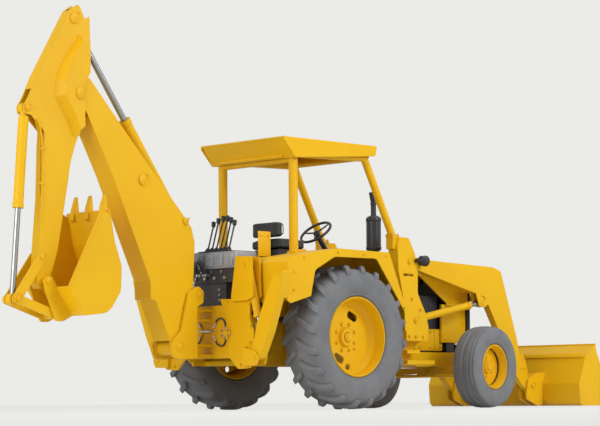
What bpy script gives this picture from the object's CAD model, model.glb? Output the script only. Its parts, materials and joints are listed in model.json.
import json
import math

import bmesh
import bpy
from mathutils import Matrix, Vector, noise


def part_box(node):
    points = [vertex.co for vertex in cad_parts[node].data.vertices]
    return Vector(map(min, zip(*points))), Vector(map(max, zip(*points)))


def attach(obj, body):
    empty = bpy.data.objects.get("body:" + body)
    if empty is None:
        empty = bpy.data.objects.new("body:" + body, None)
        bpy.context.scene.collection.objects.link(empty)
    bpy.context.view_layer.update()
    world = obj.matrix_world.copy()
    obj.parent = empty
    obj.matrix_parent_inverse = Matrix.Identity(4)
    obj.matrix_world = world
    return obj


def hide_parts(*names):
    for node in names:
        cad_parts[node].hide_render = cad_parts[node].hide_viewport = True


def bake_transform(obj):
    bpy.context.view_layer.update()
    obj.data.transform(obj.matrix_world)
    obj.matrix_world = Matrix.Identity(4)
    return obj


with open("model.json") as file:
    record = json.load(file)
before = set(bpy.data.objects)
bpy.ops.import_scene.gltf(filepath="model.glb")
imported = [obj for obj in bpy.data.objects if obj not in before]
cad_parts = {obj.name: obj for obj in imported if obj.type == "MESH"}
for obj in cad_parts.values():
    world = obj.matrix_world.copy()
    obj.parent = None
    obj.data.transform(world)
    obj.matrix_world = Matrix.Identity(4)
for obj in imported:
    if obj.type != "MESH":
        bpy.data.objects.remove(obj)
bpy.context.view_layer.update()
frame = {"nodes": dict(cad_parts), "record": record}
nodes = frame["nodes"]
print("frame loaded:", len(nodes), "nodes")

# Camera, floor and light

cameraSetup = {
    "place": (-15.8034, -15.6599, 0.08),
    "heading": 45.0,          # degrees from +X towards +Y
    "roll": -0.008,           # radians
    "lens": 132.0,
    "sensor": 36.0,
    "shiftUp": 0.3142,
    "farEnd": 200,
}


def makeCamera(setup):
    heading = math.radians(setup["heading"])
    ahead = Vector((math.cos(heading), math.sin(heading), 0))
    right = Vector((math.sin(heading), -math.cos(heading), 0))
    up = Vector((0, 0, 1))
    rolledRight = right * math.cos(setup["roll"]) + up * math.sin(setup["roll"])
    rolledUp = up * math.cos(setup["roll"]) - right * math.sin(setup["roll"])
    data = bpy.data.cameras.new("photoCamera")
    data.lens = setup["lens"]
    data.sensor_width = setup["sensor"]
    data.shift_y = setup["shiftUp"]
    data.clip_end = setup["farEnd"]
    camera = bpy.data.objects.new("photoCamera", data)
    camera.matrix_world = Matrix((
        (rolledRight.x, rolledUp.x, -ahead.x, setup["place"][0]),
        (rolledRight.y, rolledUp.y, -ahead.y, setup["place"][1]),
        (rolledRight.z, rolledUp.z, -ahead.z, setup["place"][2]),
        (0, 0, 0, 1),
    ))
    bpy.context.scene.collection.objects.link(camera)
    bpy.context.scene.camera = camera


studio = {
    "backdropColour": (0.831, 0.831, 0.807),
    "floorColour": (0.80, 0.80, 0.78),
    "floorReach": 60.0,
    "floorRoughness": 0.9,
    "shadowShare": 0.14,      # how much of the lit floor the camera sees; the rest is backdrop
    "skyColour": (0.93, 0.96, 1.0),
    "skyStrength": 0.46,
    "aim": (0, 0, 1.2),        # where the lamps look
    "lamps": {
        "key": {"place": (3.0, -13.0, 7.5), "power": 980, "size": 6.0},
        "fill": {"place": (-13.0, -1.0, 4.5), "power": 730, "size": 8.0},
        "top": {"place": (1.0, -2.0, 10.0), "power": 260, "size": 7.0},
    },
}


# 1 for rays that should see the plain backdrop
def pathMask(tree):
    path = tree.nodes.new("ShaderNodeLightPath")
    seen = tree.nodes.new("ShaderNodeMath")
    seen.operation = "MAXIMUM"
    tree.links.new(path.outputs["Is Camera Ray"], seen.inputs[0])
    tree.links.new(path.outputs["Is Glossy Ray"], seen.inputs[1])
    both = tree.nodes.new("ShaderNodeMath")
    both.operation = "MAXIMUM"
    tree.links.new(seen.outputs["Value"], both.inputs[0])
    tree.links.new(path.outputs["Is Transmission Ray"], both.inputs[1])
    return both.outputs["Value"]


def makeStudio(setup):
    world = bpy.data.worlds.new("studioWorld")
    bpy.context.scene.world = world
    world.use_nodes = True
    tree = world.node_tree
    tree.nodes.clear()
    lightSky = tree.nodes.new("ShaderNodeBackground")
    lightSky.inputs["Color"].default_value = (*setup["skyColour"], 1)
    lightSky.inputs["Strength"].default_value = setup["skyStrength"]
    plainSky = tree.nodes.new("ShaderNodeBackground")
    plainSky.inputs["Color"].default_value = (*setup["backdropColour"], 1)
    plainSky.inputs["Strength"].default_value = 1.0
    mix = tree.nodes.new("ShaderNodeMixShader")
    tree.links.new(pathMask(tree), mix.inputs["Fac"])
    tree.links.new(lightSky.outputs["Background"], mix.inputs[1])
    tree.links.new(plainSky.outputs["Background"], mix.inputs[2])
    output = tree.nodes.new("ShaderNodeOutputWorld")
    tree.links.new(mix.outputs["Shader"], output.inputs["Surface"])

    bm = bmesh.new()
    bmesh.ops.create_grid(bm, x_segments=1, y_segments=1, size=setup["floorReach"])
    mesh = bpy.data.meshes.new("studioFloor")
    bm.to_mesh(mesh)
    bm.free()
    floor = bpy.data.objects.new("studioFloor", mesh)
    bpy.context.scene.collection.objects.link(floor)
    material = bpy.data.materials.new("paleFloor")
    material.use_nodes = True
    tree = material.node_tree
    lit = tree.nodes["Principled BSDF"]
    lit.inputs["Base Color"].default_value = (*setup["floorColour"], 1)
    lit.inputs["Roughness"].default_value = setup["floorRoughness"]
    plain = tree.nodes.new("ShaderNodeEmission")
    plain.inputs["Color"].default_value = (*setup["backdropColour"], 1)
    share = tree.nodes.new("ShaderNodeMath")
    share.operation = "MULTIPLY"
    share.inputs[1].default_value = 1 - setup["shadowShare"]
    tree.links.new(pathMask(tree), share.inputs[0])
    mix = tree.nodes.new("ShaderNodeMixShader")
    tree.links.new(share.outputs["Value"], mix.inputs["Fac"])
    tree.links.new(lit.outputs["BSDF"], mix.inputs[1])
    tree.links.new(plain.outputs["Emission"], mix.inputs[2])
    tree.links.new(mix.outputs["Shader"], tree.nodes["Material Output"].inputs["Surface"])
    mesh.materials.append(material)

    for name, values in setup["lamps"].items():
        lamp = bpy.data.lights.new(name + "Lamp", "AREA")
        lamp.energy = values["power"]
        lamp.size = values["size"]
        holder = bpy.data.objects.new(name + "Lamp", lamp)
        place = Vector(values["place"])
        holder.location = place
        holder.rotation_euler = (Vector(setup["aim"]) - place).to_track_quat("-Z", "Y").to_euler()
        bpy.context.scene.collection.objects.link(holder)


makeCamera(cameraSetup)
makeStudio(studio)
bpy.context.scene.view_settings.view_transform = "Standard"
print("camera and studio")

# Shared effects, as node groups


def newGroup(name, inputs, outputs):
    group = bpy.data.node_groups.new(name, "ShaderNodeTree")
    for socketName, kind, value in inputs:
        socket = group.interface.new_socket(name=socketName, in_out="INPUT",
                                            socket_type="NodeSocket" + kind)
        if value is not None:
            socket.default_value = value
    for socketName, kind in outputs:
        group.interface.new_socket(name=socketName, in_out="OUTPUT", socket_type="NodeSocket" + kind)
    return group, group.nodes.new("NodeGroupInput"), group.nodes.new("NodeGroupOutput")


def addNoise(tree, vector, scale, detail=3.0, roughness=0.5):
    node = tree.nodes.new("ShaderNodeTexNoise")
    node.inputs["Detail"].default_value = detail
    node.inputs["Roughness"].default_value = roughness
    tree.links.new(vector, node.inputs["Vector"])
    if isinstance(scale, (int, float)):
        node.inputs["Scale"].default_value = scale
    else:
        tree.links.new(scale, node.inputs["Scale"])
    return node.outputs["Fac"]


def addRange(tree, value, low, high, newLow=0.0, newHigh=1.0):
    node = tree.nodes.new("ShaderNodeMapRange")
    node.interpolation_type = "SMOOTHSTEP"
    tree.links.new(value, node.inputs["Value"])
    for socket, number in (("From Min", low), ("From Max", high), ("To Min", newLow), ("To Max", newHigh)):
        if isinstance(number, (int, float)):
            node.inputs[socket].default_value = number
        else:
            tree.links.new(number, node.inputs[socket])
    return node.outputs["Result"]


def addMath(tree, operation, first, second):
    node = tree.nodes.new("ShaderNodeMath")
    node.operation = operation
    for socket, value in zip(node.inputs, (first, second)):
        if isinstance(value, (int, float)):
            socket.default_value = value
        else:
            tree.links.new(value, socket)
    return node.outputs["Value"]


def addMix(tree, factor, first, second):
    node = tree.nodes.new("ShaderNodeMix")
    node.data_type = "RGBA"
    tree.links.new(factor, node.inputs["Factor"])
    for name, value in (("A", first), ("B", second)):
        socket = [s for s in node.inputs if s.name == name and s.type == "RGBA"][0]
        if isinstance(value, tuple):
            socket.default_value = value
        else:
            tree.links.new(value, socket)
    return [s for s in node.outputs if s.type == "RGBA"][0]


# Slow drift of a colour between two tones, and of the roughness

driftValues = {"fineScale": 38.0, "broadShare": 0.75, "fineShare": 0.25, "colourRange": (0.36, 0.64),
               "roughRange": (0.3, 0.7)}


def makeDriftGroup(values):
    group, start, end = newGroup(
        "colourDrift",
        [("Vector", "Vector", None), ("Tone A", "Color", (0.8, 0.8, 0.8, 1)),
         ("Tone B", "Color", (0.7, 0.7, 0.7, 1)), ("Scale", "Float", 2.5),
         ("Smooth Roughness", "Float", 0.3), ("Dull Roughness", "Float", 0.45)],
        [("Colour", "Color"), ("Roughness", "Float")])
    given = start.outputs
    broad = addNoise(group, given["Vector"], given["Scale"], 4.0)
    fine = addNoise(group, given["Vector"], values["fineScale"], 5.0, 0.65)
    blend = addMath(group, "ADD", addMath(group, "MULTIPLY", broad, values["broadShare"]),
                    addMath(group, "MULTIPLY", fine, values["fineShare"]))
    factor = addRange(group, blend, *values["colourRange"])
    group.links.new(addMix(group, factor, given["Tone A"], given["Tone B"]), end.inputs["Colour"])
    rough = addRange(group, blend, *values["roughRange"], given["Smooth Roughness"],
                     given["Dull Roughness"])
    group.links.new(rough, end.inputs["Roughness"])
    return group


# Pale dust on faces that look up and on what is near the ground

dustValues = {"upRange": (0.35, 0.95), "upShare": 0.7, "cloudScale": 7.0, "cloudRange": (0.35, 0.75),
              "dulling": 0.5}


def makeDustGroup(values):
    group, start, end = newGroup(
        "dustFilm",
        [("Vector", "Vector", None), ("Colour", "Color", (0.8, 0.8, 0.8, 1)), ("Roughness", "Float", 0.4),
         ("Dust Colour", "Color", (0.42, 0.38, 0.31, 1)), ("Amount", "Float", 0.2),
         ("Ground Height", "Float", 0.9)],
        [("Colour", "Color"), ("Roughness", "Float"), ("Mask", "Float")])
    given = start.outputs
    geometry = group.nodes.new("ShaderNodeNewGeometry")
    facing = group.nodes.new("ShaderNodeSeparateXYZ")
    group.links.new(geometry.outputs["Normal"], facing.inputs["Vector"])
    upward = addRange(group, facing.outputs["Z"], *values["upRange"])
    height = group.nodes.new("ShaderNodeSeparateXYZ")
    group.links.new(given["Vector"], height.inputs["Vector"])
    low = addRange(group, height.outputs["Z"], given["Ground Height"], 0.0)
    cloud = addRange(group, addNoise(group, given["Vector"], values["cloudScale"], 6.0, 0.7),
                     *values["cloudRange"])
    either = addMath(group, "MAXIMUM", addMath(group, "MULTIPLY", upward, values["upShare"]), low)
    mask = addMath(group, "MULTIPLY", addMath(group, "MULTIPLY", either, cloud), given["Amount"])
    group.links.new(addMix(group, mask, given["Colour"], given["Dust Colour"]), end.inputs["Colour"])
    rise = addMath(group, "MULTIPLY", mask, values["dulling"])
    group.links.new(addMath(group, "ADD", given["Roughness"], rise), end.inputs["Roughness"])
    group.links.new(mask, end.inputs["Mask"])
    return group


# Lighter paint where an edge turns, found by comparing the softened normal with the true one

edgeValues = {"turnRange": (0.99, 0.80), "breakScale": 22.0, "breakRange": (0.3, 0.6),
              "breakShare": (0.25, 1.0)}


def makeEdgeGroup(values):
    group, start, end = newGroup(
        "edgeWear",
        [("Vector", "Vector", None), ("Soft Normal", "Vector", None),
         ("Colour", "Color", (0.8, 0.8, 0.8, 1)), ("Edge Colour", "Color", (0.9, 0.9, 0.9, 1)),
         ("Amount", "Float", 0.5)],
        [("Colour", "Color"), ("Mask", "Float")])
    given = start.outputs
    geometry = group.nodes.new("ShaderNodeNewGeometry")
    dot = group.nodes.new("ShaderNodeVectorMath")
    dot.operation = "DOT_PRODUCT"
    group.links.new(given["Soft Normal"], dot.inputs[0])
    group.links.new(geometry.outputs["Normal"], dot.inputs[1])
    turn = addRange(group, dot.outputs["Value"], *values["turnRange"])
    broken = addRange(group, addNoise(group, given["Vector"], values["breakScale"], 6.0, 0.7),
                      *values["breakRange"], *values["breakShare"])
    mask = addMath(group, "MULTIPLY", addMath(group, "MULTIPLY", turn, broken), given["Amount"])
    group.links.new(addMix(group, mask, given["Colour"], given["Edge Colour"]), end.inputs["Colour"])
    group.links.new(mask, end.inputs["Mask"])
    return group


# Height of a fine skin: orange peel on paint, cast skin on iron, leather grain on vinyl

grainValues = {"waveScale": 9.0, "cellRange": (0.0, 0.2)}


def makeGrainGroup(values):
    group, start, end = newGroup(
        "skinGrain",
        [("Vector", "Vector", None), ("Peel Scale", "Float", 260.0), ("Cell Scale", "Float", 300.0),
         ("Cell Share", "Float", 0.0), ("Wave Share", "Float", 0.15)],
        [("Height", "Float")])
    given = start.outputs
    peel = addNoise(group, given["Vector"], given["Peel Scale"], 2.0)
    wave = addNoise(group, given["Vector"], values["waveScale"], 2.0)
    cells = group.nodes.new("ShaderNodeTexVoronoi")
    cells.feature = "DISTANCE_TO_EDGE"
    group.links.new(given["Vector"], cells.inputs["Vector"])
    group.links.new(given["Cell Scale"], cells.inputs["Scale"])
    cellRise = addRange(group, cells.outputs["Distance"], *values["cellRange"])
    cellHeight = addMath(group, "MULTIPLY", cellRise, given["Cell Share"])
    total = addMath(group, "ADD", addMath(group, "ADD", peel, cellHeight),
                    addMath(group, "MULTIPLY", wave, given["Wave Share"]))
    group.links.new(total, end.inputs["Height"])
    return group


groups = {
    "drift": makeDriftGroup(driftValues),
    "dust": makeDustGroup(dustValues),
    "edge": makeEdgeGroup(edgeValues),
    "grain": makeGrainGroup(grainValues),
}
print("node groups:", len(groups))

# One finish for each of the record's material slots, and a few for small trim. Values that a finish
# doesn't give are the usual ones.

usualFinish = {
    "driftScale": 5.0, "edge": 0.4, "soft": 0.002, "dust": 0.3, "ground": 0.4, "peel": 300.0,
    "bump": 0.15, "specular": 0.4, "metal": 0.0, "coat": 0.0, "cell": 0.0,
}
finishTable = {
    "yellow_paint": {
        "toneA": (0.810, 0.462, 0.006), "toneB": (0.770, 0.428, 0.005), "driftScale": 1.3,
        "smooth": 0.32, "dull": 0.44, "edgeColour": (0.90, 0.58, 0.06), "soft": 0.006, "dust": 0.10,
        "dustColour": (0.50, 0.36, 0.12), "ground": 0.45, "peel": 210.0, "bump": 0.05,
        "specular": 0.18,
    },
    "yellowTrim": {
        "toneA": (0.790, 0.445, 0.006), "toneB": (0.750, 0.410, 0.005), "driftScale": 4.0,
        "smooth": 0.36, "dull": 0.48, "edgeColour": (0.86, 0.55, 0.06), "edge": 0.25, "soft": 0.0008,
        "dust": 0.10, "dustColour": (0.50, 0.36, 0.12), "ground": 0.45, "bump": 0.03, "specular": 0.18,
    },
    "valveGrey": {
        "toneA": (0.34, 0.36, 0.39), "toneB": (0.27, 0.29, 0.31), "driftScale": 6.0, "smooth": 0.38,
        "dull": 0.55, "edgeColour": (0.5, 0.52, 0.54), "edge": 0.5, "soft": 0.004, "dust": 0.2,
        "dustColour": (0.28, 0.26, 0.22), "peel": 160.0,
    },
    "dark_paint": {
        "toneA": (0.060, 0.060, 0.066), "toneB": (0.040, 0.040, 0.044), "driftScale": 3.0,
        "smooth": 0.40, "dull": 0.60, "edgeColour": (0.16, 0.16, 0.17), "edge": 0.6, "soft": 0.005,
        "dust": 0.35, "dustColour": (0.20, 0.18, 0.15), "ground": 0.5, "peel": 180.0, "bump": 0.10,
    },
    "black_paint": {
        "toneA": (0.026, 0.027, 0.031), "toneB": (0.018, 0.018, 0.021), "driftScale": 3.0,
        "smooth": 0.32, "dull": 0.50, "edgeColour": (0.11, 0.11, 0.12), "edge": 0.6, "soft": 0.004,
        "dustColour": (0.16, 0.15, 0.13), "ground": 0.5, "peel": 220.0, "bump": 0.06,
    },
    "tyre": {
        "toneA": (0.140, 0.144, 0.154), "toneB": (0.185, 0.188, 0.196), "smooth": 0.60, "dull": 0.82,
        "edgeColour": (0.32, 0.325, 0.335), "edge": 0.75, "soft": 0.007,
        "dustColour": (0.25, 0.245, 0.23), "ground": 1.6, "peel": 160.0, "bump": 0.22,
    },
    "chrome_rod": {
        "toneA": (0.36, 0.365, 0.37), "toneB": (0.31, 0.315, 0.32), "driftScale": 6.0, "smooth": 0.16,
        "dull": 0.28, "edgeColour": (0.8, 0.8, 0.8), "edge": 0.2, "dust": 0.10,
        "dustColour": (0.40, 0.38, 0.34), "peel": 500.0, "bump": 0.02, "metal": 1.0,
    },
    "engine_iron": {
        "toneA": (0.050, 0.052, 0.058), "toneB": (0.034, 0.035, 0.040), "driftScale": 4.0,
        "smooth": 0.5, "dull": 0.75, "edgeColour": (0.12, 0.12, 0.13), "edge": 0.5, "soft": 0.006,
        "dust": 0.4, "dustColour": (0.14, 0.12, 0.10), "ground": 0.9, "peel": 120.0, "bump": 0.35,
    },
    "seat_vinyl": {
        "toneA": (0.030, 0.030, 0.032), "toneB": (0.022, 0.022, 0.024), "smooth": 0.38, "dull": 0.52,
        "edgeColour": (0.07, 0.07, 0.07), "edge": 0.3, "soft": 0.003, "dust": 0.15,
        "dustColour": (0.15, 0.14, 0.12), "ground": 0.3, "bump": 0.20, "cell": 0.9,
    },
    "black_plastic": {
        "toneA": (0.026, 0.026, 0.029), "toneB": (0.020, 0.020, 0.022), "smooth": 0.34, "dull": 0.48,
        "edgeColour": (0.08, 0.08, 0.085), "dust": 0.15, "dustColour": (0.13, 0.12, 0.11),
        "ground": 0.3, "peel": 420.0, "bump": 0.10,
    },
    "hoseRubber": {
        "toneA": (0.030, 0.031, 0.034), "toneB": (0.042, 0.043, 0.046), "driftScale": 8.0,
        "smooth": 0.5, "dull": 0.7, "edgeColour": (0.08, 0.08, 0.08), "edge": 0.2,
        "dustColour": (0.15, 0.14, 0.12),
    },
    "platedSteel": {
        "toneA": (0.52, 0.52, 0.50), "toneB": (0.42, 0.41, 0.38), "driftScale": 9.0, "smooth": 0.28,
        "dull": 0.45, "edgeColour": (0.7, 0.7, 0.68), "soft": 0.001, "dust": 0.25,
        "dustColour": (0.25, 0.22, 0.18), "bump": 0.05, "metal": 1.0,
    },
    "wornSteel": {
        "toneA": (0.34, 0.33, 0.31), "toneB": (0.22, 0.20, 0.18), "driftScale": 11.0, "smooth": 0.30,
        "dull": 0.55, "edgeColour": (0.6, 0.59, 0.57), "edge": 0.7, "soft": 0.003,
        "dustColour": (0.28, 0.22, 0.15), "ground": 0.2, "peel": 90.0, "metal": 0.85,
    },
    "lampGlass": {
        "toneA": (0.30, 0.31, 0.33), "toneB": (0.24, 0.25, 0.27), "driftScale": 30.0, "smooth": 0.06,
        "dull": 0.12, "edgeColour": (0.6, 0.6, 0.62), "edge": 0.3, "soft": 0.001, "dust": 0.1,
        "dustColour": (0.3, 0.3, 0.28), "ground": 0.2, "peel": 60.0, "bump": 0.25, "coat": 1.0,
    },
}


def makeFinish(name, values):
    material = bpy.data.materials.new(name)
    material.use_nodes = True
    tree = material.node_tree
    shader = tree.nodes["Principled BSDF"]
    shader.inputs["Metallic"].default_value = values["metal"]
    shader.inputs["Coat Weight"].default_value = values["coat"]
    shader.inputs["Coat Roughness"].default_value = 0.12
    shader.inputs["Specular IOR Level"].default_value = values["specular"]
    where = tree.nodes.new("ShaderNodeTexCoord").outputs["Object"]
    soft = tree.nodes.new("ShaderNodeBevel")
    soft.samples = 4
    soft.inputs["Radius"].default_value = values["soft"]

    def place(groupName, sockets):
        node = tree.nodes.new("ShaderNodeGroup")
        node.node_tree = groups[groupName]
        tree.links.new(where, node.inputs["Vector"])
        for socket, value in sockets.items():
            if isinstance(value, tuple):
                node.inputs[socket].default_value = (*value, 1)
            elif isinstance(value, (int, float)):
                node.inputs[socket].default_value = value
            else:
                tree.links.new(value, node.inputs[socket])
        return node

    drift = place("drift", {"Tone A": values["toneA"], "Tone B": values["toneB"],
                            "Scale": values["driftScale"], "Smooth Roughness": values["smooth"],
                            "Dull Roughness": values["dull"]})
    edge = place("edge", {"Soft Normal": soft.outputs["Normal"], "Colour": drift.outputs["Colour"],
                          "Edge Colour": values["edgeColour"], "Amount": values["edge"]})
    dust = place("dust", {"Colour": edge.outputs["Colour"], "Roughness": drift.outputs["Roughness"],
                          "Dust Colour": values["dustColour"], "Amount": values["dust"],
                          "Ground Height": values["ground"]})
    grain = place("grain", {"Peel Scale": values["peel"], "Cell Share": values["cell"]})
    bump = tree.nodes.new("ShaderNodeBump")
    bump.inputs["Strength"].default_value = values["bump"]
    bump.inputs["Distance"].default_value = 0.002
    tree.links.new(grain.outputs["Height"], bump.inputs["Height"])
    tree.links.new(soft.outputs["Normal"], bump.inputs["Normal"])
    tree.links.new(dust.outputs["Colour"], shader.inputs["Base Color"])
    tree.links.new(dust.outputs["Roughness"], shader.inputs["Roughness"])
    tree.links.new(bump.outputs["Normal"], shader.inputs["Normal"])
    return material


finishes = {}
for name, values in finishTable.items():
    finishes[name] = makeFinish(name, {**usualFinish, **values})
slotOf = {entry["node"]: entry["material_slot"] for entry in frame["record"]["subparts"]}
for nodeName, piece in nodes.items():
    for slot in piece.material_slots:
        slot.material = finishes[slotOf[nodeName]]
print("finishes:", len(finishes))

# Helpers for new pieces. Sizes below are in millimetres from the floor point under the rear axle.

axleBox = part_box("rear_tyre_left")
rearAxleX = (axleBox[0][0] + axleBox[1][0]) / 2


def at(x, y, z):
    return Vector((x / 1000 + rearAxleX, y / 1000, z / 1000))


# Rotation that takes +Z to the direction
def turnTo(direction):
    return Vector(direction).to_track_quat("Z", "Y").to_matrix().to_4x4()


def bevelEdges(bm, edges, width):
    bmesh.ops.bevel(bm, geom=list(edges), offset=width / 1000, segments=2, affect="EDGES", profile=0.5,
                    material=-1)


def addRod(bm, start, end, radius, endRadius=None, sides=24, bevel=0.0):
    start = at(*start)
    end = at(*end)
    length = (end - start).length
    if endRadius is None:
        endRadius = radius
    spot = Matrix.Translation((start + end) / 2) @ turnTo(end - start)
    made = bmesh.ops.create_cone(bm, cap_ends=True, segments=sides, radius1=radius / 1000,
                                 radius2=endRadius / 1000, depth=length, matrix=spot)
    if bevel:
        rims = {edge for vert in made["verts"] for edge in vert.link_edges
                if len(edge.link_faces) == 2 and any(len(face.verts) > 4 for face in edge.link_faces)}
        bevelEdges(bm, rims, bevel)


# size is along x, y and z before the turn
def addBlock(bm, centre, size, turn=None, bevel=2.0):
    spot = Matrix.Translation(at(*centre))
    if turn is not None:
        spot = spot @ turn.to_4x4()
    spot = spot @ Matrix.Diagonal((size[0] / 1000, size[1] / 1000, size[2] / 1000, 1))
    made = bmesh.ops.create_cube(bm, size=1.0, matrix=spot)
    if bevel:
        bevelEdges(bm, {edge for vert in made["verts"] for edge in vert.link_edges}, bevel)


# A point on the line from place along the direction, for each distance
def pointsAlong(place, direction, distances):
    outward = Vector(direction).normalized()
    return [tuple(Vector(place) + outward * distance) for distance in distances]


# Shares of the width across flats
boltShape = {"washer": (0.14, 0.80), "head": (0.12, 0.62), "bevel": 0.05, "face": (0.60, 0.66),
             "faceShare": 0.74}


# A hexagon head on a washer; place is on the surface
def addBolt(bm, place, direction, across, shape=boltShape):
    washerTop, washerRadius = shape["washer"]
    addRod(bm, *pointsAlong(place, direction, (-1, across * washerTop)), across * washerRadius, sides=20)
    head = across / math.sqrt(3)
    ends = [across * share for share in shape["head"]]
    addRod(bm, *pointsAlong(place, direction, ends), head, sides=6, bevel=across * shape["bevel"])
    ends = [across * share for share in shape["face"]]
    addRod(bm, *pointsAlong(place, direction, ends), head * shape["faceShare"], sides=12)


# profile is (radius, distance along the axis); a full turn about the axis through the centre
def spinProfile(bm, profile, centre, axis, steps, closed=False):
    axis = Vector(axis).normalized()
    across = axis.orthogonal().normalized()
    middle = at(*centre)
    ring = []
    for radius, along in profile:
        ring.append(bm.verts.new(middle + across * (radius / 1000) + axis * (along / 1000)))
    line = [bm.edges.new(pair) for pair in zip(ring, ring[1:])]
    if closed:
        line.append(bm.edges.new((ring[-1], ring[0])))
    bmesh.ops.spin(bm, geom=ring + line, cent=middle, axis=axis, angle=math.radians(360), steps=steps,
                   use_merge=True, use_duplicate=False)
    bmesh.ops.remove_doubles(bm, verts=bm.verts[:], dist=0.00002)


# The profile of a round wire, bent to a ring of the given radius
def wireProfile(radius, along, size, sides):
    turns = [index * math.pi / (sides / 2) for index in range(sides)]
    return [(radius + size * math.cos(turn), along + size * math.sin(turn)) for turn in turns]


def finishPiece(name, bm, body, finish, sharpAngle=38.0, turnNormals=True):
    if turnNormals:
        bmesh.ops.recalc_face_normals(bm, faces=bm.faces[:])
    mesh = bpy.data.meshes.new(name)
    bm.to_mesh(mesh)
    bm.free()
    mesh.shade_smooth()
    mesh.set_sharp_from_angle(angle=math.radians(sharpAngle))
    piece = bpy.data.objects.new(name, mesh)
    bpy.context.scene.collection.objects.link(piece)
    mesh.materials.append(finishes[finish])
    if body:
        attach(piece, body)
    return piece


# A bent hose or pipe along a smooth line near the points
def addHose(bm, points, radius):
    curve = bpy.data.curves.new("hoseLine", "CURVE")
    curve.dimensions = "3D"
    curve.bevel_depth = radius / 1000
    curve.bevel_resolution = 2
    curve.use_fill_caps = True
    spline = curve.splines.new("NURBS")
    spline.points.add(len(points) - 1)
    for point, place in zip(spline.points, points):
        point.co = (*at(*place), 1)
    spline.order_u = 3
    spline.use_endpoint_u = True
    spline.resolution_u = 6
    holder = bpy.data.objects.new("hoseLine", curve)
    bpy.context.scene.collection.objects.link(holder)
    mesh = bpy.data.meshes.new_from_object(holder)
    bm.from_mesh(mesh)
    bpy.data.objects.remove(holder)
    bpy.data.curves.remove(curve)
    bpy.data.meshes.remove(mesh)


fittingShape = {"nut": (-4, 16), "nutShare": 1.55, "sleeve": (16, 56), "sleeveShare": 1.28}


# A crimped hose end: a nut and a sleeve, from place outwards along the hose
def addFitting(bm, place, direction, radius, shape=fittingShape):
    addRod(bm, *pointsAlong(place, direction, shape["nut"]), radius * shape["nutShare"], sides=6, bevel=1.2)
    addRod(bm, *pointsAlong(place, direction, shape["sleeve"]), radius * shape["sleeveShare"], sides=16,
           bevel=1.0)


upward = (0, 0, 1)
ahead = (1, 0, 0)
behind = (-1, 0, 0)
outward = (0, 1, 0)


# One part of a piece. Rows are given on the left side, and side -1 mirrors them. What follows the kind is
#   block: centre, size, bevel, and where it is turned the degrees and the axis
#   rod: start, end, radius, end radius, sides, bevel
#   bolt: place, direction, width across flats
#   fitting: place, direction, radius of the hose
#   hose: points, radius
#   turned: profile, centre, axis, steps, and whether the profile is closed
def addPart(bm, side, kind, place, *values):
    def mirrored(point):
        return (point[0], side * point[1], point[2])

    if kind == "block":
        size, bevel, *turned = values
        turn = None
        if turned:
            degrees, axis = turned
            turn = Matrix.Rotation(math.radians(degrees * (side if axis == "X" else 1)), 3, axis)
        addBlock(bm, mirrored(place), size, turn, bevel)
    elif kind == "rod":
        addRod(bm, mirrored(place), mirrored(values[0]), *values[1:])
    elif kind == "bolt":
        addBolt(bm, mirrored(place), mirrored(values[0]), values[1])
    elif kind == "fitting":
        addFitting(bm, mirrored(place), mirrored(values[0]), values[1])
    elif kind == "hose":
        addHose(bm, [mirrored(point) for point in place], *values)
    else:
        spinProfile(bm, place, mirrored(values[0]), *values[1:])


# Rows under middle are made once and rows under both on each side. A piece rides on the chassis unless
# it names another body.
def makePieces(table):
    for name, shape in table.items():
        bm = bmesh.new()
        for row in shape.get("middle", ()):
            addPart(bm, 1, *row)
        for side in (-1, 1):
            for row in shape.get("both", ()):
                addPart(bm, side, *row)
        finishPiece(name, bm, shape.get("body", "chassis"), shape["finish"], shape.get("sharpAngle", 38.0))


# Tyres. Profiles are (radius, distance from the tyre's middle plane).

rearTyreShape = {
    "centreY": 855.0, "height": 700.0, "tread": 666.0, "steps": 96,
    "sidewall": ((390.3, 154.8), (398, 168), (404, 181), (412, 187), (418, 184), (430, 193), (462, 204),
                 (500, 211), (545, 214.5), (592, 210), (622, 198), (640, 180), (653, 150), (661, 110),
                 (665, 60)),
    "lugs": 20, "lugCuts": 11, "lugLength": 219.3, "lugReach": 1.14, "lugBend": 0.16, "slant": 32.0,
    "lugWidth": 46.0, "lugTop": 0.92, "lugFoot": 1.42, "lugSpread": 0.12,      # shares of the width
    "lugStart": -4.0, "lugInner": 2.0, "lugShoulder": 208.0, "wrap": 690.0,
    "lugRoot": 22.0, "lugRootTaper": 26.0,                       # depth of the foot under the tread
    "lugEnd": 0.94, "endTop": (622.0, 214.5), "endFoot": (596.0, 196.0),     # where the bar's end stands
    "lugLine": ((0, 700), (118, 700), (160, 693), (186, 681), (203, 660), (212, 632), (214.5, 602)),
    "lugBevel": 4.0,
}


def lineAt(table, value):
    for (lowKey, lowValue), (highKey, highValue) in zip(table, table[1:]):
        if value <= highKey:
            return lowValue + (highValue - lowValue) * (value - lowKey) / (highKey - lowKey)
    return table[-1][1]


def joinInto(target, bm):
    scratch = bpy.data.meshes.new("scratch")
    bm.to_mesh(scratch)
    bm.free()
    target.from_mesh(scratch)
    bpy.data.meshes.remove(scratch)


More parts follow.
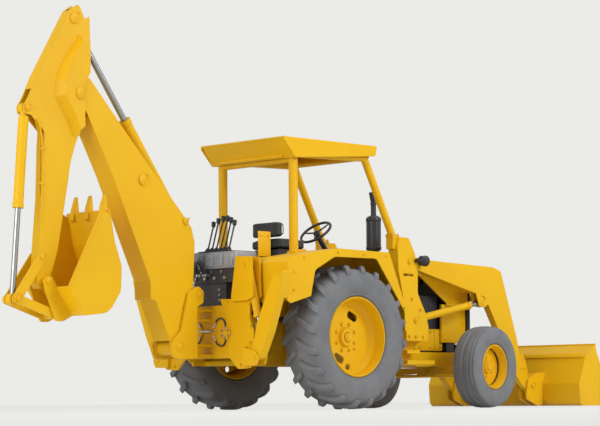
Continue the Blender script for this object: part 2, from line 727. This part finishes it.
# One tread bar, from the middle over the shoulder, wrapped round the tyre
def addLug(target, shape, side, turn):
    bm = bmesh.new()
    bmesh.ops.create_cube(bm, size=1.0)
    longEdges = [edge for edge in bm.edges if abs(edge.verts[0].co.y - edge.verts[1].co.y) > 0.5]
    bmesh.ops.subdivide_edges(bm, edges=longEdges, cuts=shape["lugCuts"], use_grid_fill=True)
    slant = math.radians(shape["slant"])
    length = shape["lugLength"]
    for vert in bm.verts:
        share = vert.co.y + 0.5
        reach = share * shape["lugReach"] - 0.5
        top = vert.co.z > 0
        along = -math.sin(slant) * reach * length * (1.0 - shape["lugBend"] * reach)
        spread = (shape["lugTop"] if top else shape["lugFoot"]) * (1.0 + shape["lugSpread"] * share)
        skew = vert.co.x * shape["lugWidth"] * spread / math.cos(slant)
        if share > shape["lugEnd"]:
            radius, y = shape["endTop"] if top else shape["endFoot"]
        else:
            y = shape["lugStart"] + length / 2 + reach * length * math.cos(slant)
            y = max(min(y, shape["lugShoulder"]), shape["lugInner"])
            radius = shape["tread"] - shape["lugRoot"] - shape["lugRootTaper"] * share
            if top:
                radius = lineAt(shape["lugLine"], y)
        angle = turn + (along + skew) / shape["wrap"]
        vert.co = Vector((rearAxleX + radius * math.sin(angle) / 1000, side * y / 1000,
                          radius * math.cos(angle) / 1000))
    bmesh.ops.recalc_face_normals(bm, faces=bm.faces[:])
    sharp = [edge for edge in bm.edges if edge.calc_face_angle(0) > 0.9]
    bevelEdges(bm, sharp, shape["lugBevel"])
    joinInto(target, bm)


def makeRearTyre(shape, sideName, side):
    bm = bmesh.new()
    outer = list(shape["sidewall"])
    profile = outer + [(shape["tread"], 0)] + [(r, -y) for r, y in reversed(outer)]
    spinProfile(bm, profile, (0, 0, 0), (0, 1, 0), shape["steps"], closed=True)
    bmesh.ops.recalc_face_normals(bm, faces=bm.faces[:])
    for half in (-1, 1):
        for index in range(shape["lugs"]):
            turn = (index + 0.25 * (1 + half)) * 2 * math.pi / shape["lugs"]      # staggered halves
            addLug(bm, shape, half, turn)
    if side < 0:
        bmesh.ops.scale(bm, vec=(1, -1, 1), verts=bm.verts[:])
        bmesh.ops.reverse_faces(bm, faces=bm.faces[:])
    shift = (0, side * shape["centreY"] / 1000, shape["height"] / 1000)
    bmesh.ops.translate(bm, vec=shift, verts=bm.verts[:])
    piece = finishPiece("rearTyre_" + sideName, bm, "rear_wheel_" + sideName, "tyre", 50.0,
                        turnNormals=False)
    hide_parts("rear_tyre_" + sideName)


frontTyreShape = {
    "steps": 88, "wheelbase": 2140.0, "kingpinY": 570.0, "wheelY": 797.5, "height": 425.0, "steer": 7.0,
    "profile": ((233.3, 109.8), (240, 122), (246, 134), (254, 139), (262, 139), (290, 149), (320, 152.5),
                (352, 151), (380, 144), (400, 133), (407, 126.5), (410.5, 116), (404, 111), (404, 106),
                (413, 101), (418, 92), (420, 84), (411, 77), (411, 69), (422, 61), (424.5, 40), (424.5, 22),
                (411, 10), (411, 0)),
}


# Matrix from a wheel at the origin, axis along Y, to where the steered wheel stands
def frontWheelTurn(shape, side):
    kingpin = at(shape["wheelbase"], side * shape["kingpinY"], 0)
    turned = Matrix.Rotation(math.radians(shape["steer"]), 4, "Z")
    reach = Vector((0, side * (shape["wheelY"] - shape["kingpinY"]) / 1000, shape["height"] / 1000))
    return Matrix.Translation(kingpin) @ turned @ Matrix.Translation(reach)


def makeFrontTyre(shape, sideName, side):
    bm = bmesh.new()
    outer = list(shape["profile"])
    profile = outer + [(r, -y) for r, y in reversed(outer[:-1])]
    spinProfile(bm, profile, (-rearAxleX * 1000, 0, 0), (0, 1, 0), shape["steps"], closed=True)
    bmesh.ops.transform(bm, matrix=frontWheelTurn(shape, side), verts=bm.verts[:])
    piece = finishPiece("frontTyre_" + sideName, bm, "front_wheel_" + sideName, "tyre", 30.0)
    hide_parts("front_tyre_" + sideName)


for sideName, side in (("left", 1), ("right", -1)):
    makeRearTyre(rearTyreShape, sideName, side)
    makeFrontTyre(frontTyreShape, sideName, side)
print("tyres")

# Wheel trim: nuts round the hubs, a hub cap and an edge bead

wheelTrim = {
    "rear": {"nuts": 8, "nutRing": 134.0, "nutAcross": 27.0, "discY": 4.8, "hubY": 38.8, "capRadius": 52.0,
             "beadRing": 379.0, "beadY": 168.0},
    "front": {"nuts": 6, "nutRing": 98.0, "nutAcross": 22.0, "discY": 14.8, "hubY": 48.8, "capRadius": 40.0,
              "beadRing": 222.0, "beadY": 123.0},
}
trimProfile = {
    "cap": ((0, 20), (0.55, 18), (0.86, 10), (0.92, 0), (1, 0), (1, -4), (0, -4)),    # radius share, height
    "capSteps": 32, "beadSize": 6, "beadSides": 10, "beadSteps": 72,
}


def makeWheelTrim(kind, values, profile, sideName, side):
    bm = bmesh.new()
    origin = -rearAxleX * 1000
    ring = values["nutRing"]
    for index in range(values["nuts"]):
        angle = 2 * math.pi * (index + 0.5) / values["nuts"]
        place = (origin + ring * math.cos(angle), values["discY"], ring * math.sin(angle))
        addBolt(bm, place, (0, 1, 0), values["nutAcross"])
    cap = [(values["capRadius"] * share, values["hubY"] + height) for share, height in profile["cap"]]
    spinProfile(bm, cap, (origin, 0, 0), (0, 1, 0), profile["capSteps"])
    bead = wireProfile(values["beadRing"], values["beadY"], profile["beadSize"], profile["beadSides"])
    spinProfile(bm, bead, (origin, 0, 0), (0, 1, 0), profile["beadSteps"], closed=True)
    if side < 0:
        bmesh.ops.scale(bm, vec=(1, -1, 1), verts=bm.verts[:])
    if kind == "rear":
        spot = Matrix.Translation(at(0, side * rearTyreShape["centreY"], rearTyreShape["height"]))
    else:
        spot = frontWheelTurn(frontTyreShape, side)
    bmesh.ops.transform(bm, matrix=spot, verts=bm.verts[:])
    finishPiece(kind + "WheelTrim_" + sideName, bm, kind + "_wheel_" + sideName, "yellowTrim")


for sideName, side in (("left", 1), ("right", -1)):
    for kind, values in wheelTrim.items():
        makeWheelTrim(kind, values, trimProfile, sideName, side)
print("wheel trim")

# Pin heads: a collar, a keeper plate with its bolt and a grease nipple on each end of a pin.
# Rows give the pin's x and z, the middle of a side's pair of lugs (0 for one pin across), the distance from
# there to the pin's end, and the pin's radius.

pinTable = {
    "swing_mast": ((-1520, 600, 0, 151, 34), (-1268, 1105, 0, 151, 28)),
    "boom": ((-1935, 2160, 0, 125, 46), (-1405, 1800, 0, 125, 28)),
    "dipper": ((-2690, 2900, 0, 149, 60), (-2690, 3590, 0, 60, 48), (-3235, 2725, 0, 62, 26),
               (-3095, 1395, 0, 76, 24)),
    "bucket_guide": ((-3385, 1010, 0, 98, 24),),
    "hoe_bucket": ((-3065, 1180, 0, 124, 26),),
}
loaderPinTable = {
    "chassis": ((1243, 1500, 520, 74, 25), (1328, 900, 520, 74, 25)),
    "loader_bucket": ((3228, 228, 520, 62, 25), (3180, 540, 400, 60, 34)),
    "loader_arms": ((2605, 1185, 400, 64, 25), (2413, 1112, 520, 40, 25)),
}
pinHeadShape = {
    "largest": 44, "bevel": 1.5,
    "collarShare": 1.18, "collar": 3, "discShare": 0.88, "disc": (2, 6),
    "keeperShift": 0.55, "keeperOut": 5, "keeperShares": (1.5, 0.62), "keeperThick": 6, "keeperTurn": -45,
    "boltShift": 0.45, "boltShare": 0.42, "smallestBolt": 12,
    "nipple": (5, 12), "nippleRadii": (4.0, 3.0),
}


def addPinHead(bm, x, y, z, outward, radius, shape):
    side = Vector((0, outward, 0))
    face = Vector((x, y, z))
    radius = min(radius, shape["largest"])
    bevel = shape["bevel"]
    collar = side * shape["collar"]
    addRod(bm, face - collar, face + collar, radius * shape["collarShare"], sides=32, bevel=bevel)
    low, high = shape["disc"]
    addRod(bm, face + side * low, face + side * high, radius * shape["discShare"], sides=28, bevel=bevel)
    shift = radius * shape["keeperShift"]
    keeper = face + Vector((shift, 0, shift)) + side * shape["keeperOut"]
    turn = Matrix.Rotation(math.radians(shape["keeperTurn"]), 3, "Y")
    along, across = shape["keeperShares"]
    addBlock(bm, keeper, (radius * along, shape["keeperThick"], radius * across), turn, 1.2)
    shift = radius * shape["boltShift"]
    addBolt(bm, keeper + Vector((shift, 0, shift)) + side * (shape["keeperThick"] / 2), side,
            max(shape["smallestBolt"], radius * shape["boltShare"]))
    low, high = shape["nipple"]
    addRod(bm, face + side * low, face + side * high, *shape["nippleRadii"], sides=8)


def makePinHeads(prefix, table):
    for body, pins in table.items():
        bm = bmesh.new()
        for x, z, middle, reach, radius in pins:
            for centre in ((-middle, middle) if middle else (0,)):
                for side in (-1, 1):
                    addPinHead(bm, x, centre + side * reach, z, side, radius, pinHeadShape)
        finishPiece(prefix + body, bm, body, "yellowTrim")


makePinHeads("pinHeads_", pinTable)
makePinHeads("loaderPinHeads_", loaderPinTable)
print("pin heads")

# Steering wheel, seat and levers

steeringWheelShape = {
    "hub": (475.0, 0.0, 1795.0), "radius": 180.0, "grip": 13.5, "gripSides": 16, "steps": 72, "tilt": 39.0,
    "boss": ((0, 10), (20, 9), (30, 4), (34, -6), (34, -44), (26, -52), (0, -52)), "bossSteps": 36,
    "spokeAngles": (90.0, 210.0, 330.0), "spokeFoot": (20, 8), "spokeEnd": 2, "spokeRadii": (9, 6.5),
    "discShares": (0.45, 0.65), "discDrop": 6, "discHalf": 5, "discRadii": (11, 9),
}


def makeSteeringWheel(shape):
    tilt = math.radians(shape["tilt"])
    axis = Vector((-math.sin(tilt), 0, math.cos(tilt)))
    bm = bmesh.new()
    middle = shape["radius"] - shape["grip"]
    rim = wireProfile(middle, 0, shape["grip"], shape["gripSides"])
    spinProfile(bm, rim, shape["hub"], axis, shape["steps"], closed=True)
    hub = Vector(shape["hub"])
    spinProfile(bm, shape["boss"], shape["hub"], axis, shape["bossSteps"])
    forward = Vector((axis.z, 0, -axis.x))
    out, drop = shape["spokeFoot"]
    for angle in shape["spokeAngles"]:
        turned = Matrix.Rotation(math.radians(angle), 3, axis) @ forward
        end = hub + turned * (middle - shape["spokeEnd"]) - axis * shape["spokeEnd"]
        addRod(bm, hub + turned * out - axis * drop, end, *shape["spokeRadii"], sides=14)
        for share in shape["discShares"]:
            spot = hub + turned * (middle * share) - axis * shape["discDrop"]
            half = axis * shape["discHalf"]
            addRod(bm, spot - half, spot + half, *shape["discRadii"], sides=16)
    piece = finishPiece("steeringWheelRing", bm, "steering_wheel", "black_plastic")
    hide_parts("steering_wheel")


seatShape = {
    "cushion": {"centre": (-63, 0, 1645), "size": (366, 436, 106), "crown": 20.0, "up": "z",
                "channels": (-0.62, -0.2, 0.2, 0.62), "fill": 0.85, "node": "seat_cushion"},
    "back": {"centre": (-205, 0, 1783), "size": (86, 376, 148), "crown": 16.0, "up": "x",
             "channels": (-0.5, 0.0, 0.5), "fill": 0.85, "node": "seat_back"},
    "cuts": 22, "squareness": 7, "pull": 0.035, "crownMiddle": 0.8,
    "channelDepth": 7.0, "channelWidth": 0.05, "channelFade": 3,
    "seamHeight": 0.42, "seamWidth": 0.05, "seamPinch": 0.012,
    "foldScale": 0.02, "foldHeight": 1.2,
}


# A crowned pad with sewn channels; its sides pull in between the corners
def makePad(name, pad, shape):
    bm = bmesh.new()
    bmesh.ops.create_cube(bm, size=2.0)
    bmesh.ops.subdivide_edges(bm, edges=bm.edges[:], cuts=shape["cuts"], use_grid_fill=True)
    half = Vector(pad["size"]) / 2
    facing = 2 if pad["up"] == "z" else 0
    a, b = [axis for axis in (0, 1, 2) if axis != facing]
    power = shape["squareness"]
    for vert in bm.verts:
        unit = vert.co.copy()
        length = (abs(unit.x) ** power + abs(unit.y) ** power + abs(unit.z) ** power) ** (1 / power)
        rounded = unit / length
        spot = Vector((rounded.x * half.x, rounded.y * half.y, rounded.z * half.z))
        spot[a] *= 1 - shape["pull"] * (1 - unit[b] ** 2)
        spot[b] *= 1 - shape["pull"] * (1 - unit[a] ** 2)
        over = (1 - unit[a] ** 4) * (1 - unit[b] ** 4)
        if unit[facing] > 0.2:
            spot[facing] += pad["crown"] * (over - shape["crownMiddle"]) * unit[facing]
            fade = min(1.0, over * shape["channelFade"])
            for channel in pad["channels"]:
                gap = (unit[1] - channel) / shape["channelWidth"]
                spot[facing] -= shape["channelDepth"] * math.exp(-gap * gap) * fade
        if max(abs(unit[a]), abs(unit[b])) > 0.98:      # the side wall, pinched at its seam
            seam = (unit[facing] - shape["seamHeight"]) / shape["seamWidth"]
            pinch = 1 - shape["seamPinch"] * math.exp(-seam * seam)
            spot[a] *= pinch
            spot[b] *= pinch
        if unit[facing] > 0.5:
            spot[facing] += noise.noise(spot * shape["foldScale"]) * shape["foldHeight"]
        vert.co = at(*(spot + Vector(pad["centre"])))
    piece = finishPiece(name, bm, "chassis", "seat_vinyl", 180.0)
    smooth = piece.modifiers.new("soften", "SUBSURF")
    smooth.levels = 1
    smooth.render_levels = 1
    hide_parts(pad["node"])


makeSteeringWheel(steeringWheelShape)
for name in ("cushion", "back"):
    makePad("seatPad_" + name, seatShape[name], seatShape)

# Welted seams of the pads, knobs and boots of the levers

cushionSeam = ((-239, 0), (-239, 210), (-63, 216), (113, 210), (118, 0), (113, -210), (-63, -216),
               (-239, -210), (-239, 0))
backSeam = ((0, 1716), (181, 1716), (185, 1783), (181, 1850), (0, 1852), (-181, 1850), (-185, 1783),
            (-181, 1716), (0, 1716))
leverTops = ((30, -780, 1850), (90, -790, 1830), (150, -800, 1800))        # y, x and z
leverX, leverZ = -880, 1540                                                # foot of each lever
knobProfile = ((0, 50), (11, 49), (19, 42), (22.5, 30), (21, 16), (14, 3), (11, -10), (8, -14))
bootProfile = ((30, 0), (31, 6), (24, 10), (26, 15), (20, 19), (22, 25), (15, 29), (17, 34), (10, 40),
               (8.4, 44))

stationPieces = {
    "seatPiping": {"finish": "black_plastic", "sharpAngle": 60.0, "middle": [
        ("hose", [(x, y, 1670) for x, y in cushionSeam], 4.5),
        ("hose", [(-171, y, z) for y, z in backSeam], 4.5),
    ]},
    "leverKnobs": {"finish": "black_plastic", "sharpAngle": 50.0, "both": [
        ("turned", knobProfile, (x + 2, y, z - 2), (0.08, 0, 1), 20) for y, x, z in leverTops
    ]},
    "leverBoots": {"finish": "hoseRubber", "sharpAngle": 50.0, "both": [
        *(("turned", bootProfile, (leverX, y, leverZ + 4), (x - leverX, 0, z - leverZ), 20)
          for y, x, z in leverTops),
        *(("rod", (leverX, y, leverZ + 3), (leverX, y, leverZ + 9), 36, 36, 24, 1.5)
          for y, x, z in leverTops),
    ]},
}
makePieces(stationPieces)
print("operator's station")

# Exhaust, lamps, hood and grille screen

bandProfile = ((77.5, -16), (80, -12), (80, 12), (77.5, 16), (74, 16), (74, -16))
bandHeights = (1652, 1940)
pipeFoot = (1120, -200, 0)

screenY = [-279 + index * 558 / 46 for index in range(47)]
screenZ = [682 + index * 676 / 56 for index in range(57)]

frontPieces = {
    "exhaustTrim": {"finish": "black_paint", "middle": [
        *(("rod", (1036, -218, z), (1036, -182, z), 5, 5, 10, 0) for z in bandHeights),
        *(("block", (1036, y, z), (16, 5, 24), 1.5) for z in bandHeights for y in (-210, -190)),
        *(("turned", bandProfile, (1120, -200, z), upward, 48, True) for z in bandHeights),
        ("turned", ((28, 1990), (40, 1984), (62, 1974), (76.6, 1958), (77.2, 1940)), pipeFoot, upward, 48),
        ("turned", ((30, 1604), (44, 1612), (64, 1622), (76.6, 1638), (77.2, 1652)), pipeFoot, upward, 48),
        ("turned", ((30.5, 1440.5), (58, 1440.5), (58, 1447), (38, 1449), (36, 1462), (30.5, 1464)),
         pipeFoot, upward, 36, True),
        ("turned", ((30.5, 2096), (33, 2098), (33, 2112), (30.5, 2114)), pipeFoot, upward, 32, True),
    ]},
    "lampShells": {"finish": "black_plastic", "both": [
        ("turned", ((52.6, 0), (56, 4), (57, 12), (56, 20), (50, 23), (46, 20), (46, 12)),
         (1425, 625, 1510), ahead, 40),
        ("turned", ((0, -22), (20, -20), (38, -12), (48, -2), (52.6, 10)), (1376, 625, 1510), ahead, 40),
        ("rod", (1340, 625, 1510), (1378, 625, 1510), 16, 20, 20, 0),
    ]},
    "lampLenses": {"finish": "lampGlass", "both": [
        ("turned", ((0, 26), (18, 25), (34, 21), (46, 15)), (1420, 625, 1510), ahead, 40),
    ]},
    "hoodTrim": {"finish": "yellowTrim", "middle": [
        ("block", (1700, 0, 1441), (26, 540, 5), 1.5),                          # lap joint across the top
        *(("bolt", (1700, y, 1443), upward, 13) for y in (-240, -120, 0, 120, 240)),
        ("turned", ((0, 34), (34, 33), (44, 28), (46, 18), (44, 4), (52, 2), (52, -2)),
         (2120, 0, 1440), upward, 36),
    ], "both": [
        ("rod", (1957, 343, 1300), (1957, 351, 1300), 19, 19, 28, 1.5),         # round latch
        ("rod", (1957, 350, 1300), (1957, 357, 1300), 10, 10, 20, 1.5),
        ("block", (1957, 358, 1300), (26, 5, 7), 1.2),
        *(("bolt", (x, 345, z), outward, 13)
          for x, z in ((2130, 1110), (2390, 1110), (2390, 1230), (2390, 1350), (2130, 1350), (1700, 1385))),
        *(("block", (2290, 348, z), (120, 8, 12), 2.0, 24, "X") for z in (1150, 1190, 1230)),
    ]},
    "grilleScreen": {"finish": "black_paint", "middle": [
        *(("rod", (2429, y, 680), (2429, y, 1360), 1.6, 1.6, 5, 0) for y in screenY),
        *(("rod", (2432, -282, z), (2432, 282, z), 1.6, 1.6, 5, 0) for z in screenZ),
    ]},
}
makePieces(frontPieces)
print("exhaust, lamps and hood")

# Bolts of the structure, trim and cutting edge of the buckets

structurePieces = {
    "structureBolts": {"finish": "yellowTrim", "both": [
        *(("bolt", (x, 584, z), outward, 26)
          for x, z in ((1235, 735), (1330, 735), (1440, 735), (1275, 1120), (1400, 1010))),
        *(("bolt", (x, y, 1764), upward, 22) for x in (1042, 1112) for y in (462, 538)),
        *(("bolt", (-1035, y, z), behind, 24)
          for y, z in ((300, 1035), (620, 1035), (470, 432), (610, 640), (620, 800))),
        *(("bolt", (-1015, 340, z), behind, 24) for z in (560, 640, 720)),
        *(("bolt", (x, 1000, z), outward, 18)
          for x, z in ((-840, 1130), (-840, 1300), (-700, 1440), (-240, 1510), (120, 1506), (440, 1500),
                       (700, 1000), (712, 860))),
    ]},
    "loaderBucketTrim": {"body": "loader_bucket", "finish": "yellow_paint", "middle": [
        ("rod", (3680, -1079, 671), (3680, 1079, 671), 12, 12, 14, 0),          # lip bar
        ("block", (3500, 0, 556), (12, 2118, 46), 3.0, 21, "Y"),
    ], "both": [
        ("block", (4020, 1066, 40), (240, 26, 50), 4.0),                        # wear plates
    ]},
    "loaderCuttingEdge": {"body": "loader_bucket", "finish": "wornSteel", "middle": [
        ("block", (4100, 0, 27), (140, 2128, 14), 4.0),
        *(("rod", (4070, y, 33), (4070, y, 38), 15, 11, 20, 0) for y in range(-960, 961, 240)),
    ]},
    "hoeBucketTrim": {"body": "hoe_bucket", "finish": "yellowTrim", "middle": [
        *(("rod", (x, y - 29, z), (x, y + 29, z), 10, 10, 6, 1.0)               # tooth pins
          for y in (-205, 0, 205) for x, z in ((-2500, 1800), (-2478, 1765))),
    ], "both": [
        ("hose", [(-2985, 306, 1130), (-2790, 306, 1482), (-2596, 306, 1838)], 7),
    ]},
}
makePieces(structurePieces)
print("bolts and buckets")

# Pipes along the dipper, with their clamps

dipperPieces = {
    "pipes_dipper": {"body": "dipper", "finish": "yellowTrim", "sharpAngle": 60.0, "middle": [
        ("hose", [(-3130, -30, 2620), (-3095, -30, 2540), (-3075, -30, 2400), (-3092, -30, 1960)], 9.0),
        ("hose", [(-3130, -58, 2640), (-3100, -60, 2560), (-3072, -60, 2400), (-3088, -60, 1900),
                  (-3110, -58, 1700)], 9.0),
        *(("block", (x, -46, z), (30, 74, 26), 4.0) for x, z in ((-3074, 2372), (-3086.48, 2060))),
    ]},
}
makePieces(dipperPieces)
print("hydraulic lines")

# Four hoses from the valve bank to the swing mast, close to the swing axis so that the boom clears them

swingHoseShape = {
    "radius": 11.0, "pairs": ((28, -1232), (62, -1258)),      # y at the bank, x on the mast
    "from": (-1052, 1300), "over": (-1145, 1425), "down": (-1240, 1330), "foot": 1186,
    "straight": 60, "stagger": 18, "inward": 0.9,
}


def makeSwingHoses(shape):
    fittings = bmesh.new()
    ends = bmesh.new()
    radius = shape["radius"]
    startX, startZ = shape["from"]
    overX, overZ = shape["over"]
    downX, downZ = shape["down"]
    leaveX = startX - shape["straight"]
    index = 0
    for side in (-1, 1):
        for fromMiddle, footX in shape["pairs"]:
            y = side * fromMiddle
            footY = side * (fromMiddle - 4)
            lift = shape["stagger"] * (index % 2)
            bm = bmesh.new()
            addHose(bm, [(startX, y, startZ), (leaveX, y, startZ + 6),
                         (overX, y * shape["inward"], overZ + lift),
                         (downX + 6, footY, overZ - 20 + lift), (footX, footY, downZ),
                         (footX, footY, shape["foot"] + 10)], radius)
            hose = finishPiece("swingHose_%d" % index, bm, None, "hoseRubber", 60.0)
            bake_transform(hose)
            addFitting(fittings, (startX + 2, y, startZ), (-1, 0, 0.05), radius)
            addFitting(ends, (footX, footY, shape["foot"] - 8), upward, radius)
            index += 1
    finishPiece("valveFittings", fittings, "chassis", "platedSteel")
    finishPiece("mastFittings", ends, "swing_mast", "platedSteel")


makeSwingHoses(swingHoseShape)

# Plates, ram ends, hoses and valves round the frame. The ends of the swing rams and their hoses stay close
# to the rear plate, because the mast swings past.

capBolts = [(250 + 50.16 * math.cos(turn), 742 + 50.16 * math.sin(turn))
            for turn in (math.radians(60 * index + 30) for index in range(6))]
capHoseLine = ((-1023, 250), (-1030, 250), (-1031, 190), (-1030, 120), (-1029, 92))
capHoses = ((62, 120, 150, 120, 60), (-62, -108, -128, -96, -30))             # heights along each hose

framePieces = {
    "nosePanels": {"finish": "yellow_paint", "both": [     # beside the radiator
        ("block", (2220, 318, 891), (380, 8, 402), 2.5),
        ("block", (2036, 306, 891), (12, 26, 402), 3.0),
        *(("bolt", (x, 322, z), outward, 16) for x in (2070, 2370) for z in (730, 891, 1052)),
    ]},
    "stationBracket": {"finish": "yellow_paint", "middle": [    # beside the seat
        ("block", (-686, -446, 1600), (164, 10, 244), 4.0),
        ("block", (-686, -424, 1488), (164, 50, 8), 3.0),
        *(("bolt", (x, -420, 1492), upward, 16) for x in (-733, -639)),
        *(("bolt", (x, -451, 1682), (0, -1, 0), 16) for x in (-733, -639)),
    ]},
    "swingCaps": {"finish": "yellow_paint", "both": [
        ("rod", (-1011, 250, 742), (-1029, 250, 742), 66, 66, 48, 5.0),
        ("rod", (-1027, 250, 742), (-1035, 250, 742), 33, 33, 32, 3.0),
        ("rod", (-1011, 92, 758), (-1035, 92, 758), 30, 30, 32, 4.0),
    ]},
    "swingFittings": {"finish": "platedSteel", "middle": [
        ("rod", (-1028, -118, 764), (-1028, 118, 764), 11, 11, 24, 2.0),
    ], "both": [
        *(("bolt", (-1029, y, z), behind, 17) for y, z in capBolts),
        ("fitting", (-1029, 92, 800), (0, 0.55, 1), 7),
        ("fitting", (-1029, 92, 714), (0, 0.55, -1), 7),
    ]},
    "swingLoops": {"finish": "hoseRubber", "sharpAngle": 60.0, "both": [
        ("hose", [(x, y, 742 + rise) for (x, y), rise in zip(capHoseLine, rises)], 8) for rises in capHoses
    ]},
    "stabilizerHoses": {"finish": "hoseRubber", "sharpAngle": 60.0, "both": [
        ("hose", [(-905, 432, 1400), (-930, 470, 1380), (-938, 540, 1290), (-936, 575, 1190),
                  (-930, 560, 1085)], 11),
        ("hose", [(-905, 466, 1400), (-930, 504, 1380), (-938, 574, 1244), (-936, 609, 1144),
                  (-930, 594, 1085)], 11),
    ]},
    "stabilizerFittings": {"finish": "platedSteel", "both": [
        ("fitting", (-905, y, 1402), (-0.4, 0.6, -0.35), 11) for y in (432, 466)
    ]},
    "roofBeam": {"finish": "yellow_paint", "middle": [     # along the roof's rear slope
        ("rod", (-424, -448, 2470), (-424, 448, 2470), 24, 24, 32, 8.0),
    ]},
    "rodEyeSleeve": {"body": "bucket_rod", "finish": "yellow_paint", "middle": [
        ("rod", (-3385, -33, 1010), (-3385, 33, 1010), 55.5, 55.5, 48, 2.0),
    ]},
    "valveBody": {"finish": "valveGrey", "middle": [
        ("block", (-885, 0, 1443), (336, 846, 162), 9.0),
        *(("block", (-1060, y, 1443), (20, 104, 120), 6.0) for y in range(-350, 351, 140)),
        *(("rod", (-1066, y, 1470), (-1082, y, 1470), 17, 17, 6, 1.5) for y in range(-350, 351, 140)),
        *(("rod", (-1066, y, 1415), (-1078, y, 1415), 13, 13, 6, 1.5) for y in range(-350, 351, 140)),
    ]},
    "valveCaps": {"finish": "platedSteel", "middle": [
        *(("rod", (-1040, y, 1272), (-1064, y, 1272), 19, 19, 6, 1.5) for y in range(-280, 281, 140)),
        *(("rod", (-1040, y, 1330), (-1060, y, 1330), 14, 14, 6, 1.5) for y in range(-235, 326, 140)),
    ], "both": [
        ("rod", (-1012, 170, z), (-1028, 170, z), 15, 15, 6, 1.0) for z in (1060, 1110, 1160)
    ]},
    "armLines": {"body": "loader_arms", "finish": "yellowTrim", "sharpAngle": 60.0, "both": [
        *(("hose", [(1640, 468, z), (1900, 468, z), (2440, 468, z - 32), (2500, 468, z - 42)], 7.5)
          for z in (1478, 1452)),
        *(("block", (x, 471, z), (22, 20, 58), 3.0)
          for x, z in ((1700, 1466), (1950, 1463.5), (2200, 1451), (2440, 1439))),
    ]},
    "enginePlates": {"finish": "yellow_paint", "both": [
        ("block", (1800, 262, 716), (560, 52, 232), 14.0),
        *(("block", (x, 290, 716), (30, 10, 200), 4.0) for x in (1640, 1960)),
        *(("bolt", (x, 288, z), outward, 20) for x in (1560, 1720, 1880, 2040) for z in (640, 800)),
    ]},
}
makePieces(framePieces)
print("hoses, valve bank and lines")
